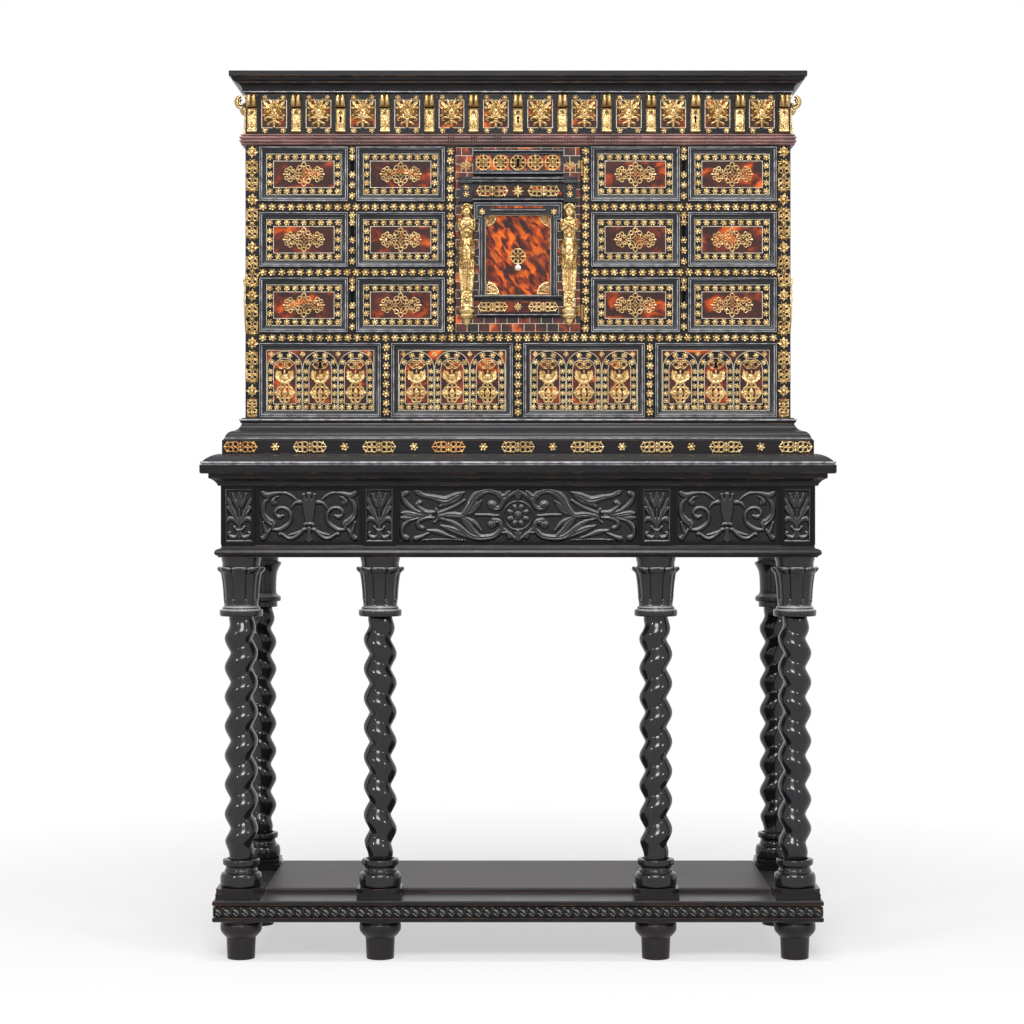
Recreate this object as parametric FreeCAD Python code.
"""Cabinet on a stand of twisted columns (a vargueno), as separate pieces.

Frame: millimetres, +Z up, origin on the floor under the middle of the table top.
The front faces -Y, and +X is to the right of someone who faces it.
"""
import FreeCAD
import Part
import math
import os
from FreeCAD import Vector

# Heights of the stand, from the floor up
foot_height = 72.0
platform_height = 38.0
board_height = 9.0
column_plinth_height = 20.0
column_height = 486.0
capital_height = 106.4
bead_board_height = 21.6
apron_height = 106.0
under_top_height = 22.0
table_top_height = 36.0

# Heights of the cabinet, from the table up
cabinet_plinth_height = 65.0
lower_row_height = 135.5
shelf_thickness = 17.9
row_height = 100.2
row_count = 3
top_shelf_thickness = 22.5
frieze_height = 72.7
cornice_height = 37.4

# Plan of the stand
table_width = 1130.0
table_depth = 458.0
table_overhang = 35.0
inner_column_spread = 496.0
platform_margin = 5.0
bead_overhang = 12.0
under_top_overhang = 21.0

# Plan of the cabinet
body_width = 984.0
body_depth = 352.0
body_front = -152.0
side_thickness = 24.5
back_thickness = 10.0
facing_thickness = 3.0
door_bay_width = 228.0
divider_thickness = 17.0
frieze_divider_thickness = 25.4
lower_drawer_count = 4
frieze_drawer_count = 3
plinth_overhang = 37.0
plinth_ledge = 7.0
cornice_overhang = 27.0

# Flats round every turned piece
turning_sides = 12

# Turned feet: radii and levels, as shares of the radius and the height
foot_radius = 37.0
foot_shares = [(0.6, 0), (0.68, 0.06), (0.7, 0.53), (1, 0.74), (0.93, 1)]

# Base platform with a band between two fillets, and the board that lies on it
platform_moulding = 6.0
platform_shares = [(0.4, 0), (0, 0.05), (0, 0.19), (1, 0.22), (0.5, 0.25), (0.5, 0.71),
                   (1, 0.74), (0, 0.79), (0, 0.95), (0.4, 1)]
board_gap = 2.0
board_back_margin = 15.0
board_edge_radius = 3.5

# Square plinth under each column, with clipped upper corners
column_plinth_size = 80.0
column_plinth_clip = 12.0
column_plinth_square_share = 0.6

# Columns: moulded base, then the twisted shaft; the base has radii and levels, as shares
column_base_radius = 38.0
column_base_height = 50.0
column_base_shares = [(0.86, 0), (1, 0.1), (1, 0.26), (0.82, 0.36), (0.8, 0.44), (0.7, 0.47), (0.7, 0.58),
                      (0.93, 0.76)]
shaft_radius = 25.0
shaft_neck_radius = 21.5
shaft_throw = 4.8
shaft_pitch = 52.6
shaft_fade = 34.0
column_sides = 9
shaft_steps_per_turn = 5

# Capitals: half widths across the flats and levels, as shares, of the eight-sided body
capital_radius = 42.0
leafy_capital_shares = [(0.89, 0), (0.89, 0.09), (0.76, 0.18), (0.69, 0.19), (0.79, 0.74), (0.98, 0.79),
                        (0.98, 0.83), (0.79, 0.84)]
plain_capital_shares = [(0.74, 0), (0.74, 0.1), (0.89, 0.11), (0.89, 0.19), (0.69, 0.27), (0.77, 0.7),
                        (0.92, 0.8), (0.79, 0.84)]
abacus_shares = [(0.79, 0.84), (0.79, 0.9), (0.83, 1)]

# Bead moulding under the apron, as shares of its reach past the apron and of its height
bead_shares = [(0.55, 0), (0.5, 0.1), (0.12, 0.22), (0, 0.4), (0.12, 0.58), (0.55, 0.7), (0.9, 0.74), (1, 1)]

# Apron rails and the carved plates on them
apron_rail_thickness = 22.0
apron_plate_thickness = 9.0
apron_block_proud = 2.5
apron_block_width = 60.0
apron_border = 6.0
apron_relief_depth = 4.5

# Moulding under the top and the edge of the top
under_top_shares = [(0.7, 0), (0.7, 0.09), (0.55, 0.3, 0.06, 0.6), (0, 0.62), (0, 1)]
top_moulding = 38.0
top_shares = [(0.06, 0), (0, 0.06), (0, 0.42), (0.07, 0.44), (0.07, 0.56), (0.49, 0.88, 1, 1)]

# Cabinet plinth: upright frieze, ogee and bead
plinth_shares = [(0, 0), (0, 0.36), (0.12, 0.42), (0.18, 0.52, 0.42, 0.62), (0.72, 0.7, 0.86, 0.84),
                 (0.8, 0.86), (0.76, 0.92), (0.88, 0.99), (1, 1)]

# Ripple moulding above the drawers, as shares of its reach and height
ripple_height = 20.7
ripple_reach = 10.6
ripple_shares = [(0, 0), (0.45, 0), (0.88, 0.22), (1, 0.5), (0.88, 0.78), (0.45, 1), (0, 1)]

# Cornice, as shares of its reach past the body and of its height
cornice_shares = [(1, 0), (0.85, 0.04), (0.8, 0.16), (0.7, 0.36, 0.4, 0.46), (0.4, 0.52),
                  (0.24, 0.58, 0.16, 0.7), (0, 0.76), (0, 1)]

# Scrolled brackets of the frieze, as shares of reach and height
console_width = 18.0
console_height = 70.0
console_reach = 21.0
console_lift = 1.2
consoles_per_drawer = 3
side_console_count = 5
console_shares = [(0, 0), (0.3, 0.02), (0.33, 0.08), (0.15, 0.14), (0.15, 0.56), (0.62, 0.6), (1, 0.71),
                  (1, 0.86), (0.65, 0.98), (0, 1)]

# Drawers
drawer_side_gap = 0.5
drawer_run_gap = 0.3
drawer_stop_gap = 4.0
drawer_front_thickness = 16.0
drawer_board_thickness = 9.0
drawer_bottom_thickness = 6.0
drawer_side_drop = 10.0
frame_width = 11.4
frame_flat = 2.0
frame_proud = 5.5
panel_gap = 14.0

# Locks
lock_width = 44.0
lock_height = 34.0
lock_depth = 9.0
wide_lock_share = 0.66
lower_lock_share = 0.75
frieze_lock_share = 0.45
door_lock_share = 0.91

# Central door
door_gap = 1.5
door_thickness = 18.0
door_panel_depth = 3.0
door_panel_shares = (0.53, 0.197, 0.635)
door_moulding_reach = 13.0
# Half width, bottom, top and reach of each straight moulding, as shares of the door's own sizes
door_moulding_shares = [
    (0.72, 0.967, 0.986, 0.55),
    (0.70, 0.863, 0.967, 0.3),
    (0.72, 0.845, 0.863, 0.45),
    (0.96, 0.803, 0.833, 1.0),
    (0.73, 0.72, 0.803, 0.4),
    (0.93, 0.70, 0.72, 0.7),
    (0.71, 0.172, 0.195, 0.7),
    (0.62, 0.0975, 0.172, 0.4),
    (0.667, 0.078, 0.0975, 0.6),
]
door_edge_shares = [(0, 0), (0.55, 0), (1, 0.5), (1, 1), (0, 1)]
end_block_shares = (0.73, 0.93, 0.72, 0.803, 0.65)
# Outline of the frame with ears: half widths and levels of its outside
ear_frame_shares = [(0.63, 0.195), (0.63, 0.605), (0.71, 0.605), (0.71, 0.70)]
ear_frame_proud_share = 0.55

# Figures that carry the door's entablature, each on a bracket
figure_centre_share = 0.82
figure_bottom_share = 0.03
figure_top_share = 0.70
figure_radius = 14.0
figure_shares = [(0.2, 0), (0.9, 0.14), (0.7, 0.17), (0.75, 0.27), (0.55, 0.3), (0.9, 0.53), (0.62, 0.68),
                 (0.95, 0.8), (0.35, 0.86), (0.6, 0.92), (0.5, 0.97), (0.75, 1)]

# Knob on the door
knob_radius = 6.5
knob_reach = 14.0
knob_level_share = 0.345
knob_shares = [(0.6, 0), (0.4, 0.15), (0.4, 0.45), (1, 0.65), (1, 0.8), (0.6, 1)]

# Hinges of the door
hinge_pin_radius = 1.4
hinge_fit = 0.05
hinge_barrel_radius = 3.0
hinge_knuckle_length = 14.0
hinge_knuckle_gap = 0.3
hinge_leaf_width = 8.0
hinge_leaf_thickness = 1.5
hinge_level_shares = (0.105, 0.885)

# Drop handles on the sides
bail_rise = 259.0
bail_drop = 104.0
bail_span = 104.0
bail_rod_radius = 3.5
bail_rod_sides = 8
bail_bow_steps = 10
bail_pin_radius = 2.4
bail_fit = 0.08
bail_reach = 14.0
bail_eye_radius = 6.0
bail_eye_thickness = 7.0
bail_eye_gap = 0.5
bail_plate_radius = 15.0
bail_plate_thickness = 2.0

# Levels worked out from the heights
platform_top = foot_height + platform_height
column_bottom = platform_top + column_plinth_height
capital_bottom = column_bottom + column_height
bead_board_bottom = capital_bottom + capital_height
apron_bottom = bead_board_bottom + bead_board_height
under_top_bottom = apron_bottom + apron_height
table_bottom = under_top_bottom + under_top_height
cabinet_bottom = table_bottom + table_top_height
lower_row_bottom = cabinet_bottom + cabinet_plinth_height
first_shelf_bottom = lower_row_bottom + lower_row_height
row_pitch = row_height + shelf_thickness
row_bottoms = [first_shelf_bottom + shelf_thickness + row * row_pitch for row in range(row_count)]
top_shelf_bottom = first_shelf_bottom + shelf_thickness + row_count * row_pitch - shelf_thickness
frieze_bottom = top_shelf_bottom + top_shelf_thickness
cornice_bottom = frieze_bottom + frieze_height

# Plan worked out from the widths and depths
apron_half_width = table_width / 2 - table_overhang
apron_half_depth = table_depth / 2 - table_overhang
outer_column_x = apron_half_width + bead_overhang - capital_radius
inner_column_x = inner_column_spread / 2
column_y = apron_half_depth + bead_overhang - capital_radius
platform_half_width = outer_column_x + column_plinth_size / 2 + platform_margin
platform_half_depth = column_y + column_plinth_size / 2 + platform_margin
front_columns = [(-outer_column_x, -column_y), (-inner_column_x, -column_y),
                 (inner_column_x, -column_y), (outer_column_x, -column_y)]
back_columns = [(-outer_column_x, column_y), (outer_column_x, column_y)]
body_half_width = body_width / 2
inner_half_width = body_half_width - side_thickness
body_back = body_front + body_depth
board_back = body_back - back_thickness
board_front = body_front + facing_thickness
bay_half_width = door_bay_width / 2
wide_inner_edge = bay_half_width + divider_thickness
wide_opening = inner_half_width - wide_inner_edge
lower_opening = (2 * inner_half_width - (lower_drawer_count - 1) * divider_thickness) / lower_drawer_count
lower_pitch = lower_opening + divider_thickness
lower_centres = [(i - (lower_drawer_count - 1) / 2) * lower_pitch for i in range(lower_drawer_count)]
frieze_opening = (2 * inner_half_width
                  - (frieze_drawer_count - 1) * frieze_divider_thickness) / frieze_drawer_count
frieze_pitch = frieze_opening + frieze_divider_thickness
frieze_centres = [(i - (frieze_drawer_count - 1) / 2) * frieze_pitch for i in range(frieze_drawer_count)]
console_pitch = frieze_pitch / (consoles_per_drawer + 1)
door_half_width = bay_half_width - door_gap
door_bottom = row_bottoms[0] + door_gap
door_height = top_shelf_bottom - row_bottoms[0] - 2 * door_gap
hinge_x = bay_half_width + door_gap
hinge_y = body_front - hinge_barrel_radius
bail_axis_x = body_half_width + bail_reach
bail_level = lower_row_bottom + bail_rise


def save(name, solids):
    """Write one node: one solid, or a group of separate solids."""
    shape = solids[0] if len(solids) == 1 else Part.makeCompound(solids)
    shape.exportStep("parts/" + name + ".step")


def box(x0, x1, y0, y1, z0, z1):
    """Straight-sided block between two corners."""
    return Part.makeBox(x1 - x0, y1 - y0, z1 - z0, Vector(x0, y0, z0))


def sized(shares, across, up, start_across=0.0, start_up=0.0):
    """Turn an outline of shares into real places; each step keeps its two or four numbers."""
    starts = (start_across, start_up, start_across, start_up)
    lengths = (across, up, across, up)
    return [tuple(starts[i] + lengths[i] * value for i, value in enumerate(step)) for step in shares]


def outline_edges(steps, place):
    """Edges of an open outline. A step of two numbers is a straight run to that point,
    and a step of four is an arc through the first pair to the second."""
    edges = []
    here = place(*steps[0])
    for step in steps[1:]:
        there = place(*step[-2:])
        if len(step) == 2:
            edges.append(Part.LineSegment(here, there).toShape())
        else:
            edges.append(Part.Arc(here, place(*step[:2]), there).toShape())
        here = there
    return edges


def outline_face(steps, place):
    """Flat face inside an outline whose last point is joined to its first."""
    edges = outline_edges(steps, place)
    first = place(*steps[0])
    last = place(*steps[-1][-2:])
    edges.append(Part.LineSegment(last, first).toShape())
    return Part.Face(Part.Wire(edges))


def across_depth(u, v):
    """Place an outline point in the plane that looks along X."""
    return Vector(0, u, v)


def across_width(u, v):
    """Place an outline point in the plane that looks along Y."""
    return Vector(u, 0, v)


def two_sided_section(steps, low_edge, high_edge, place):
    """Face whose moulded outline stands at high_edge and, mirrored, at low_edge.
    Each step holds the inset from the edge and the level."""
    right = [tuple(high_edge - v if i % 2 == 0 else v for i, v in enumerate(step)) for step in steps]
    left = [tuple(low_edge + v if i % 2 == 0 else v for i, v in enumerate(step)) for step in steps]
    right_edges = outline_edges(right, place)
    left_edges = outline_edges(left, place)
    top = Part.LineSegment(place(*right[-1][-2:]), place(*left[-1][-2:])).toShape()
    bottom = Part.LineSegment(place(*left[0]), place(*right[0])).toShape()
    return Part.Face(Part.Wire(right_edges + [top] + left_edges[::-1] + [bottom]))


def moulded_slab(shares, reach, half_width, front, back, bottom, height, plain_back=False):
    """Slab with a moulding on its edges, mitred at the corners. The steps hold the inset as a share
    of the reach, and the level as a share of the height."""
    steps = sized(shares, reach, height, 0.0, bottom)
    side_section = two_sided_section(steps, -half_width, half_width, across_width)
    side_to_side = side_section.extrude(Vector(0, back - front, 0))
    side_to_side.translate(Vector(0, front, 0))
    hidden = reach if plain_back else 0.0
    front_section = two_sided_section(steps, front, back + hidden, across_depth)
    front_to_back = front_section.extrude(Vector(2 * half_width, 0, 0))
    front_to_back.translate(Vector(-half_width, 0, 0))
    return side_to_side.common(front_to_back).Solids[0]


def regular_ring(radius, sides, centre):
    """Corners of a level polygon; a flat faces each way along X when the sides are even."""
    angles = [2 * math.pi * (i + 0.5) / sides for i in range(sides)]
    return [centre + Vector(radius * math.cos(angle), radius * math.sin(angle), 0) for angle in angles]


def flat_face(corners):
    """Face inside a ring of corners."""
    return Part.Face(Part.makePolygon(corners + corners[:1]))


def skinned(rings):
    """Solid whose flat faces join each ring of corners to the next, closed by the first and last."""
    faces = [flat_face(rings[0][::-1]), flat_face(rings[-1])]
    for low, high in zip(rings, rings[1:]):
        for i in range(len(low)):
            faces.append(flat_face([low[i - 1], low[i], high[i], high[i - 1]]))
    return Part.Solid(Part.Shell(faces))


def turned(shares, radius, height, x, y, bottom):
    """Piece turned about an upright axis, from its radii and levels."""
    return skinned([regular_ring(radius * width, turning_sides, Vector(x, y, bottom + height * level))
                    for width, level in shares])


def stand_feet():
    feet = [turned(foot_shares, foot_radius, foot_height, x, y, 0) for x, y in front_columns + back_columns]
    save("stand_feet", feet)


def base_platform():
    slab = moulded_slab(platform_shares, platform_moulding, platform_half_width, -platform_half_depth,
                        platform_half_depth, foot_height, platform_height)
    save("base_platform", [slab])


def base_board():
    """Raised board between the columns, with a worn round front edge."""
    half_width = outer_column_x - column_plinth_size / 2 - board_gap
    front = -column_y + column_plinth_size / 2 + board_gap
    back = platform_half_depth - board_back_margin
    board = box(-half_width, half_width, front, back, platform_top, platform_top + board_height)
    middle = Vector(0, (front + back) / 2, platform_top + board_height / 2)
    top_edges = [edge for edge in board.Edges
                 if edge.BoundBox.ZMin > middle.z and edge.BoundBox.YMax < middle.y]
    save("base_board", [board.makeFillet(board_edge_radius, top_edges)])


def column_plinth(x, y):
    """Square block whose upper part has its corners clipped."""
    half = column_plinth_size / 2
    square_top = platform_top + column_plinth_height * column_plinth_square_share
    square = box(x - half, x + half, y - half, y + half, platform_top, square_top)
    near = half - column_plinth_clip
    corners = [(half, -near), (half, near), (near, half), (-near, half),
               (-half, near), (-half, -near), (-near, -half), (near, -half)]
    ring = [Vector(x + u, y + v, square_top) for u, v in corners]
    upper = flat_face(ring).extrude(Vector(0, 0, column_bottom - square_top))
    return square.fuse(upper).removeSplitter().Solids[0]


def twisted_column(x, y, hand):
    """Moulded base, then a shaft whose section travels round the column's axis as it climbs and
    settles on the axis at both ends. hand is 1 for a right-hand twist and -1 for a left-hand one."""
    rings = [regular_ring(column_base_radius * width, column_sides,
                          Vector(x, y, column_bottom + column_base_height * level))
             for width, level in column_base_shares]
    shaft_bottom = column_bottom + column_base_height
    shaft_height = capital_bottom - shaft_bottom
    steps = round(shaft_height / shaft_pitch * shaft_steps_per_turn)
    for i in range(steps + 1):
        level = shaft_height * i / steps
        ease = min(1.0, level / shaft_fade, (shaft_height - level) / shaft_fade)
        angle = hand * 2 * math.pi * level / shaft_pitch
        throw = shaft_throw * ease
        centre = Vector(x + throw * math.cos(angle), y + throw * math.sin(angle), shaft_bottom + level)
        radius = shaft_neck_radius + (shaft_radius - shaft_neck_radius) * ease
        rings.append(regular_ring(radius, column_sides, centre))
    return skinned(rings)


def twisted_columns(name, places, first_hand):
    """Row of columns, each in one piece; the hands alternate from left to right."""
    save(name, [twisted_column(x, y, first_hand * (-1) ** i) for i, (x, y) in enumerate(places)])


def capital(shares, x, y):
    """Eight-sided bell under a square abacus."""
    parts = []
    for sides, levels in ((8, shares), (4, abacus_shares)):
        corner_factor = 1 / math.cos(math.pi / sides)
        parts.append(skinned([regular_ring(capital_radius * width * corner_factor, sides,
                                           Vector(x, y, capital_bottom + capital_height * level))
                              for width, level in levels]))
    return parts[0].fuse(parts[1]).Solids[0]


def column_capitals():
    leafy = [capital(leafy_capital_shares, x, y) for x, y in front_columns]
    plain = [capital(plain_capital_shares, x, y) for x, y in back_columns]
    save("column_capitals", leafy + plain)


def bead_moulding_board():
    slab = moulded_slab(bead_shares, bead_overhang, apron_half_width + bead_overhang,
                        -apron_half_depth - bead_overhang, apron_half_depth + bead_overhang,
                        bead_board_bottom, bead_board_height)
    save("bead_moulding_board", [slab])


def apron_rails():
    """Four upright boards under the top; the long ones run the full width."""
    x = apron_half_width - apron_plate_thickness
    y = apron_half_depth - apron_plate_thickness
    low, high = apron_bottom, under_top_bottom
    front = box(-x, x, -y, -y + apron_rail_thickness, low, high)
    back = box(-x, x, y - apron_rail_thickness, y, low, high)
    inner = y - apron_rail_thickness
    left = box(-x, -x + apron_rail_thickness, -inner, inner, low, high)
    right = box(x - apron_rail_thickness, x, -inner, inner, low, high)
    save("apron_rails", [front, back, left, right])


def carved_plate(start, end, face, thickness):
    """Plate on the front of a rail, with a sunk field that holds the carving."""
    plate = box(start, end, face, face + thickness, apron_bottom, under_top_bottom)
    field = box(start + apron_border, end - apron_border, face, face + apron_relief_depth,
                apron_bottom + apron_border, under_top_bottom - apron_border)
    return plate.cut(field)


def apron_carved_panels():
    """Blocks over the columns and sunk panels between them, on the front and both sides."""
    half_block = apron_block_width / 2
    block_starts = [-apron_half_width, -inner_column_x - half_block,
                    inner_column_x - half_block, apron_half_width - apron_block_width]
    block_face = -apron_half_depth - apron_block_proud
    block_thickness = apron_plate_thickness + apron_block_proud
    plates = [carved_plate(start, start + apron_block_width, block_face, block_thickness)
              for start in block_starts]
    for i in range(len(block_starts) - 1):
        plates.append(carved_plate(block_starts[i] + apron_block_width, block_starts[i + 1],
                                   -apron_half_depth, apron_plate_thickness))
    side_front = -apron_half_depth + apron_plate_thickness
    side_back = apron_half_depth - apron_plate_thickness
    side_joints = [side_front, side_front + apron_block_width, side_back - apron_block_width, side_back]
    for i in range(len(side_joints) - 1):
        proud = 0.0 if i == 1 else apron_block_proud
        side_plate = carved_plate(side_joints[i], side_joints[i + 1], -apron_half_width - proud,
                                  apron_plate_thickness + proud)
        right = side_plate.copy()
        right.rotate(Vector(0, 0, 0), Vector(0, 0, 1), 90)
        plates.append(right)
        plates.append(right.mirror(Vector(0, 0, 0), Vector(1, 0, 0)))
    save("apron_carved_panels", plates)


def under_top_moulding():
    slab = moulded_slab(under_top_shares, under_top_overhang, apron_half_width + under_top_overhang,
                        -apron_half_depth - under_top_overhang, apron_half_depth + under_top_overhang,
                        under_top_bottom, under_top_height)
    save("under_top_moulding", [slab])


def table_top():
    slab = moulded_slab(top_shares, top_moulding, table_width / 2, -table_depth / 2, table_depth / 2,
                        table_bottom, table_top_height)
    save("table_top", [slab])


def cabinet_plinth():
    slab = moulded_slab(plinth_shares, plinth_overhang, body_half_width + plinth_overhang,
                        body_front - plinth_overhang - plinth_ledge, body_back,
                        cabinet_bottom, cabinet_plinth_height, plain_back=True)
    save("cabinet_plinth", [slab])


def carcase_sides():
    right = box(inner_half_width, body_half_width, board_front, board_back, lower_row_bottom, cornice_bottom)
    left = right.mirror(Vector(0, 0, 0), Vector(1, 0, 0))
    save("carcase_sides", [left, right])


def carcase_back():
    save("carcase_back", [box(-body_half_width, body_half_width, board_back, body_back,
                              lower_row_bottom, cornice_bottom)])


def shelf_plan():
    """Every level board as its left and right end, its underside and its top."""
    first_top = first_shelf_bottom + shelf_thickness
    plan = [(-inner_half_width, inner_half_width, first_shelf_bottom, first_top),
            (-inner_half_width, inner_half_width, top_shelf_bottom, frieze_bottom)]
    for bottom in row_bottoms[1:]:
        plan.append((-inner_half_width, -wide_inner_edge, bottom - shelf_thickness, bottom))
        plan.append((wide_inner_edge, inner_half_width, bottom - shelf_thickness, bottom))
    return plan


def upright_plan():
    """Every upright board inside the case, laid out like the shelves."""
    plan = [(-wide_inner_edge, -bay_half_width, row_bottoms[0], top_shelf_bottom),
            (bay_half_width, wide_inner_edge, row_bottoms[0], top_shelf_bottom)]
    for centre in lower_centres[:-1]:
        start = centre + lower_opening / 2
        plan.append((start, start + divider_thickness, lower_row_bottom, first_shelf_bottom))
    for centre in frieze_centres[:-1]:
        start = centre + frieze_opening / 2
        plan.append((start, start + frieze_divider_thickness, frieze_bottom, cornice_bottom))
    return plan


def shelf_boards():
    save("shelf_boards", [box(x0, x1, board_front, board_back, z0, z1) for x0, x1, z0, z1 in shelf_plan()])


def upright_boards():
    boards = [box(x0, x1, board_front, board_back, z0, z1) for x0, x1, z0, z1 in upright_plan()]
    save("upright_boards", boards)


def face_strips():
    """Thin ebony facings on the front edges of the shelves and uprights."""
    strips = [box(x0, x1, body_front, board_front, z0, z1)
              for x0, x1, z0, z1 in shelf_plan() + upright_plan()]
    save("face_strips", strips)


def corner_pilasters():
    right = box(inner_half_width, body_half_width, body_front, board_front, lower_row_bottom, cornice_bottom)
    left = right.mirror(Vector(0, 0, 0), Vector(1, 0, 0))
    save("corner_pilasters", [left, right])


def corner_wedge(points, bottom, height):
    """Upright three-cornered block that trims a mitre."""
    return flat_face([Vector(x, y, bottom) for x, y in points]).extrude(Vector(0, 0, height))


def ripple_moulding():
    """Three strips, on the front and both sides, mitred where they meet."""
    bottom = frieze_bottom - ripple_height
    outer = body_half_width + ripple_reach
    front = body_front - ripple_reach
    steps = sized(ripple_shares, -ripple_reach, ripple_height, body_front, bottom)
    strip = outline_face(steps, across_depth).extrude(Vector(2 * outer, 0, 0))
    strip.translate(Vector(-outer, 0, 0))
    right_end = corner_wedge([(outer, front), (body_half_width, body_front), (outer, body_front)],
                             bottom, ripple_height)
    left_end = right_end.mirror(Vector(0, 0, 0), Vector(1, 0, 0))
    front_strip = strip.cut(right_end).cut(left_end)
    steps = sized(ripple_shares, ripple_reach, ripple_height, body_half_width, bottom)
    side = outline_face(steps, across_width).extrude(Vector(0, body_back - front, 0))
    side.translate(Vector(0, front, 0))
    inner_end = corner_wedge([(outer, front), (body_half_width, body_front), (body_half_width, front)],
                             bottom, ripple_height)
    right_strip = side.cut(inner_end)
    left_strip = right_strip.mirror(Vector(0, 0, 0), Vector(1, 0, 0))
    save("ripple_moulding", [front_strip, right_strip, left_strip])


def cornice():
    slab = moulded_slab(cornice_shares, cornice_overhang, body_half_width + cornice_overhang,
                        body_front - cornice_overhang, body_back, cornice_bottom, cornice_height,
                        plain_back=True)
    save("cornice", [slab])


def console(x):
    """Scrolled bracket on the front face, centred at x."""
    steps = sized(console_shares, -console_reach, console_height, body_front, frieze_bottom + console_lift)
    solid = outline_face(steps, across_depth).extrude(Vector(console_width, 0, 0))
    solid.translate(Vector(x - console_width / 2, 0, 0))
    return solid


def fixed_consoles():
    """Brackets on the ends and dividers of the frieze, and a row of them on each side."""
    places = [(i - frieze_drawer_count / 2) * frieze_pitch for i in range(frieze_drawer_count + 1)]
    consoles = [console(x) for x in places]
    first = body_front + side_thickness / 2
    for i in range(side_console_count):
        right = console(0.0)
        right.translate(Vector(0, -body_front, 0))
        right.rotate(Vector(0, 0, 0), Vector(0, 0, 1), 90)
        right.translate(Vector(body_half_width, first + i * console_pitch, 0))
        consoles.append(right)
        consoles.append(right.mirror(Vector(0, 0, 0), Vector(1, 0, 0)))
    save("fixed_consoles", consoles)


def drawer_box(centre, opening, bottom, height):
    """Two sides, back and bottom board behind a drawer front."""
    half = opening / 2 - drawer_side_gap
    low = bottom + drawer_run_gap
    high = bottom + height - drawer_side_drop
    front = body_front + drawer_front_thickness
    back = board_back - drawer_stop_gap
    t = drawer_board_thickness
    left = box(centre - half, centre - half + t, front, back, low, high)
    right = box(centre + half - t, centre + half, front, back, low, high)
    rear = box(centre - half + t, centre + half - t, back - t, back, low, high)
    floor = box(centre - half + t, centre + half - t, front, back - t, low, low + drawer_bottom_thickness)
    return [left, right, rear, floor]


def front_board(centre, opening, bottom, height):
    """Plain board that closes the drawer's opening."""
    half = opening / 2 - drawer_side_gap
    return box(centre - half, centre + half, body_front, body_front + drawer_front_thickness,
               bottom + drawer_run_gap, bottom + height - drawer_side_gap)


def upright_rectangle(x0, x1, z0, z1, y):
    """Corners of a rectangle that stands in the plane at y."""
    return [Vector(x0, y, z0), Vector(x1, y, z0), Vector(x1, y, z1), Vector(x0, y, z1)]


def raised_frame(x0, x1, z0, z1):
    """Frame that stands proud at its outer edge and slopes in to the field."""
    block = box(x0, x1, body_front - frame_proud, body_front, z0, z1)
    hollow = skinned([
        upright_rectangle(x0 + frame_width, x1 - frame_width, z0 + frame_width, z1 - frame_width,
                          body_front),
        upright_rectangle(x0 + frame_flat, x1 - frame_flat, z0 + frame_flat, z1 - frame_flat,
                          body_front - frame_proud)])
    return block.cut(hollow)


def framed_front(centre, opening, bottom, height, panels):
    """Drawer front with one or two framed panels side by side."""
    board = front_board(centre, opening, bottom, height)
    half = opening / 2 - drawer_side_gap
    panel_width = (2 * half - (panels - 1) * panel_gap) / panels
    for i in range(panels):
        start = centre - half + i * (panel_width + panel_gap)
        board = board.fuse(raised_frame(start, start + panel_width, bottom + drawer_run_gap,
                                        bottom + height - drawer_side_gap))
    return board.removeSplitter().Solids[0]


def lock_case(centre, level):
    """Closed lock case on the back of a front board."""
    back = body_front + drawer_front_thickness
    return box(centre - lock_width / 2, centre + lock_width / 2, back, back + lock_depth,
               level - lock_height / 2, level + lock_height / 2)


def wide_drawers():
    """Three drawers on each side of the door, counted from the top; each front looks like two panels."""
    centre = wide_inner_edge + wide_opening / 2
    for side, x in (("left", -centre), ("right", centre)):
        for row, bottom in enumerate(row_bottoms[::-1]):
            name = side + "_" + str(row + 1)
            front = framed_front(x, wide_opening, bottom, row_height, 2)
            save("drawer_" + name, [front] + drawer_box(x, wide_opening, bottom, row_height))
            save("lock_" + name, [lock_case(x, bottom + row_height * wide_lock_share)])


def lower_drawers():
    """Four deep drawers, each with one framed field; only the outer two have locks."""
    for i, x in enumerate(lower_centres):
        front = framed_front(x, lower_opening, lower_row_bottom, lower_row_height, 1)
        name = "lower_" + str(i + 1)
        save("drawer_" + name, [front] + drawer_box(x, lower_opening, lower_row_bottom, lower_row_height))
        if i in (0, lower_drawer_count - 1):
            save("lock_" + name, [lock_case(x, lower_row_bottom + lower_row_height * lower_lock_share)])


def frieze_drawers():
    """Three shallow drawers hidden in the frieze, each with its own row of consoles."""
    for i, x in enumerate(frieze_centres):
        name = "frieze_" + str(i + 1)
        front = front_board(x, frieze_opening, frieze_bottom, frieze_height)
        save("drawer_" + name, [front] + drawer_box(x, frieze_opening, frieze_bottom, frieze_height))
        places = [x + (j - (consoles_per_drawer - 1) / 2) * console_pitch for j in range(consoles_per_drawer)]
        save("consoles_" + name, [console(place) for place in places])
        save("lock_" + name, [lock_case(x, frieze_bottom + frieze_height * frieze_lock_share)])


def door_level(share):
    """Height at a share of the door, from its bottom edge."""
    return door_bottom + door_height * share


def door_panel():
    """Leaf of the door with a sunk central panel."""
    leaf = box(-door_half_width, door_half_width, body_front, body_front + door_thickness,
               door_bottom, door_bottom + door_height)
    half_share, low_share, high_share = door_panel_shares
    half = door_half_width * half_share
    panel = box(-half, half, body_front, body_front + door_panel_depth,
                door_level(low_share), door_level(high_share))
    save("door_panel", [leaf.cut(panel)])


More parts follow.
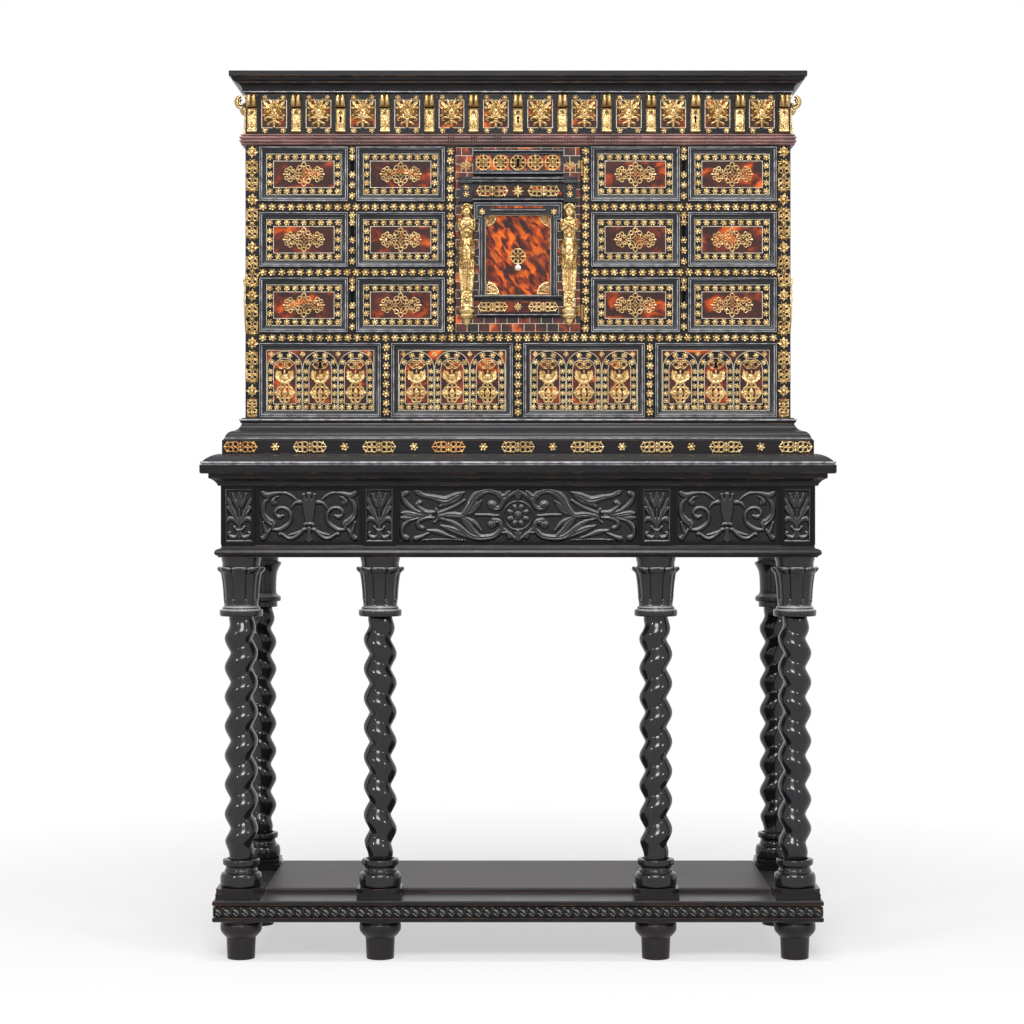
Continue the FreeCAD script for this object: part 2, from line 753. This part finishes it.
def door_moulding(half_width, low, high, reach):
    """Straight moulding across the door, hollowed away below."""
    steps = sized(door_edge_shares, -reach, high - low, body_front, low)
    solid = outline_face(steps, across_depth).extrude(Vector(2 * half_width, 0, 0))
    solid.translate(Vector(-half_width, 0, 0))
    return solid


def ear_frame():
    """Frame round the central panel, with square ears at its head and a sloping inner edge."""
    right = [(door_half_width * u, door_level(v)) for u, v in ear_frame_shares]
    left = [(-x, z) for x, z in right[::-1]]
    proud = door_moulding_reach * ear_frame_proud_share
    frame = outline_face(right + left, across_width).extrude(Vector(0, -proud, 0))
    frame.translate(Vector(0, body_front, 0))
    half_share, low_share, high_share = door_panel_shares
    half = door_half_width * half_share
    low, high = door_level(low_share), door_level(high_share)
    hollow = skinned([
        upright_rectangle(-half, half, low, high, body_front),
        upright_rectangle(-half - proud / 2, half + proud / 2, low, high + proud / 2, body_front - proud)])
    return frame.cut(hollow).Solids[0]


def door_architrave():
    """Ebony architecture on the door: mouldings, end blocks and the frame with ears."""
    pieces = []
    for half_share, low_share, high_share, reach_share in door_moulding_shares:
        low, high = door_level(low_share), door_level(high_share)
        pieces.append(door_moulding(door_half_width * half_share, low, high,
                                    door_moulding_reach * reach_share))
    start_share, end_share, low_share, high_share, reach_share = end_block_shares
    block = box(door_half_width * start_share, door_half_width * end_share,
                body_front - door_moulding_reach * reach_share, body_front,
                door_level(low_share), door_level(high_share))
    pieces += [block, block.mirror(Vector(0, 0, 0), Vector(1, 0, 0)), ear_frame()]
    save("door_architrave", pieces)


def door_figures():
    """Half-round figures, each on a tapering bracket, flat against the door."""
    low = door_level(figure_bottom_share)
    height = door_level(figure_top_share) - low
    keep = box(-door_half_width, door_half_width, body_front - figure_radius, body_front, low, low + height)
    figures = []
    for side in (-1, 1):
        whole = turned(figure_shares, figure_radius, height, side * door_half_width * figure_centre_share,
                       body_front, low)
        figures.append(whole.common(keep).Solids[0])
    save("door_figures", figures)


def door_knob():
    """Small turned knob in the middle of the central panel."""
    knob = turned(knob_shares, knob_radius, knob_reach, 0, 0, 0)
    knob.rotate(Vector(0, 0, 0), Vector(1, 0, 0), 90)
    knob.translate(Vector(0, body_front + door_panel_depth, door_level(knob_level_share)))
    save("door_knob", [knob])


def door_lock():
    """Lock case on the back of the door, behind the keyhole in the top panel."""
    back = body_front + door_thickness
    level = door_level(door_lock_share)
    save("door_lock", [box(-lock_width / 2, lock_width / 2, back, back + lock_depth,
                           level - lock_height / 2, level + lock_height / 2)])


def hinge_barrel(radius, low, length):
    return Part.makeCylinder(radius, length, Vector(hinge_x, hinge_y, low))


def fixed_hinge_half(middle):
    """Leaf on the case with the lower knuckle and the pin that stands in it."""
    low = middle - hinge_knuckle_length - hinge_knuckle_gap / 2
    leaf = box(hinge_x, hinge_x + hinge_leaf_width, body_front - hinge_leaf_thickness, body_front,
               low, low + hinge_knuckle_length)
    knuckle = hinge_barrel(hinge_barrel_radius, low, hinge_knuckle_length)
    pin = hinge_barrel(hinge_pin_radius, low, 2 * hinge_knuckle_length + hinge_knuckle_gap)
    return leaf.fuse(knuckle).fuse(pin).removeSplitter().Solids[0]


def moving_hinge_half(middle):
    """Leaf on the door with the upper knuckle, bored for the pin."""
    low = middle + hinge_knuckle_gap / 2
    leaf = box(hinge_x - hinge_leaf_width, hinge_x, body_front - hinge_leaf_thickness, body_front,
               low, low + hinge_knuckle_length)
    knuckle = hinge_barrel(hinge_barrel_radius, low, hinge_knuckle_length)
    bore = hinge_barrel(hinge_pin_radius + hinge_fit, low, hinge_knuckle_length)
    return leaf.fuse(knuckle).cut(bore).removeSplitter().Solids[0]


def door_hinges():
    middles = [door_level(share) for share in hinge_level_shares]
    save("door_hinge_posts", [fixed_hinge_half(middle) for middle in middles])
    save("door_hinge_leaves", [moving_hinge_half(middle) for middle in middles])


def handle_mount(y):
    """Round plate on the right side with an eye that holds one end of the drop handle."""
    plate = flat_face(regular_ring(bail_plate_radius, turning_sides, Vector(0, 0, 0)))
    plate = plate.extrude(Vector(0, 0, bail_plate_thickness))
    plate.rotate(Vector(0, 0, 0), Vector(0, 1, 0), 90)
    plate.translate(Vector(body_half_width, y, bail_level))
    eye_end = bail_axis_x + bail_eye_radius
    half_thickness = bail_eye_thickness / 2
    low, high = bail_level - bail_eye_radius, bail_level + bail_eye_radius
    outline = [(body_half_width, bail_level - bail_pin_radius), (bail_axis_x - bail_pin_radius, low),
               (bail_axis_x + bail_pin_radius, low), (eye_end, bail_level - bail_pin_radius),
               (eye_end, bail_level + bail_pin_radius), (bail_axis_x + bail_pin_radius, high),
               (bail_axis_x - bail_pin_radius, high), (body_half_width, bail_level + bail_pin_radius)]
    eye = outline_face(outline, across_width).extrude(Vector(0, bail_eye_thickness, 0))
    eye.translate(Vector(0, y - half_thickness, 0))
    bore = Part.makeCylinder(bail_pin_radius + bail_fit, bail_eye_thickness,
                             Vector(bail_axis_x, y - half_thickness, bail_level), Vector(0, 1, 0))
    return plate.fuse(eye).cut(bore).removeSplitter().Solids[0]


def bail_section(y, z, tilt):
    """Corners of the rod's section; tilt turns it from level, in radians about the line along X."""
    across, along = math.cos(tilt), math.sin(tilt)
    return [Vector(bail_axis_x + corner.x, y + corner.y * across, z + corner.y * along)
            for corner in regular_ring(bail_rod_radius, bail_rod_sides, Vector(0, 0, 0))]


def right_bail(centre):
    """Drop handle: a rod bent in a bow, with a pin at each end that turns in its eye."""
    half = bail_span / 2 - bail_rod_radius
    bow_level = bail_level - bail_drop + bail_rod_radius + half
    rings = [bail_section(centre + half, bail_level + bail_pin_radius, 0)]
    for i in range(bail_bow_steps + 1):
        angle = math.pi * i / bail_bow_steps
        y, z = centre + half * math.cos(angle), bow_level - half * math.sin(angle)
        rings.append(bail_section(y, z, -angle))
    rings.append(bail_section(centre - half, bail_level + bail_pin_radius, -math.pi))
    rod = skinned(rings[::-1])
    pin_length = bail_rod_radius + bail_eye_gap + bail_eye_thickness
    for side in (-1, 1):
        foot = Vector(bail_axis_x, centre + side * half, bail_level)
        pin = Part.makeCylinder(bail_pin_radius, pin_length, foot, Vector(0, -side, 0))
        rod = rod.fuse(pin)
    return rod.removeSplitter().Solids[0]


def drop_handles():
    """One drop handle on each side of the case, half way back."""
    centre = body_front + body_depth / 2
    eye_offset = bail_span / 2 - 2 * bail_rod_radius - bail_eye_gap - bail_eye_thickness / 2
    right_mounts = [handle_mount(centre - eye_offset), handle_mount(centre + eye_offset)]
    left_mounts = [mount.mirror(Vector(0, 0, 0), Vector(1, 0, 0)) for mount in right_mounts]
    save("handle_mounts", right_mounts + left_mounts)
    handle = right_bail(centre)
    save("right_bail", [handle])
    save("left_bail", [handle.mirror(Vector(0, 0, 0), Vector(1, 0, 0))])


os.makedirs("parts", exist_ok=True)
stand_feet()
base_platform()
base_board()
save("column_plinth_blocks", [column_plinth(x, y) for x, y in front_columns + back_columns])
twisted_columns("front_twisted_columns", front_columns, 1)
twisted_columns("back_twisted_columns", back_columns, -1)
column_capitals()
bead_moulding_board()
apron_rails()
apron_carved_panels()
under_top_moulding()
table_top()
cabinet_plinth()
carcase_sides()
carcase_back()
shelf_boards()
upright_boards()
face_strips()
corner_pilasters()
ripple_moulding()
cornice()
fixed_consoles()
wide_drawers()
lower_drawers()
frieze_drawers()
door_panel()
door_architrave()
door_figures()
door_knob()
door_lock()
door_hinges()
drop_handles()
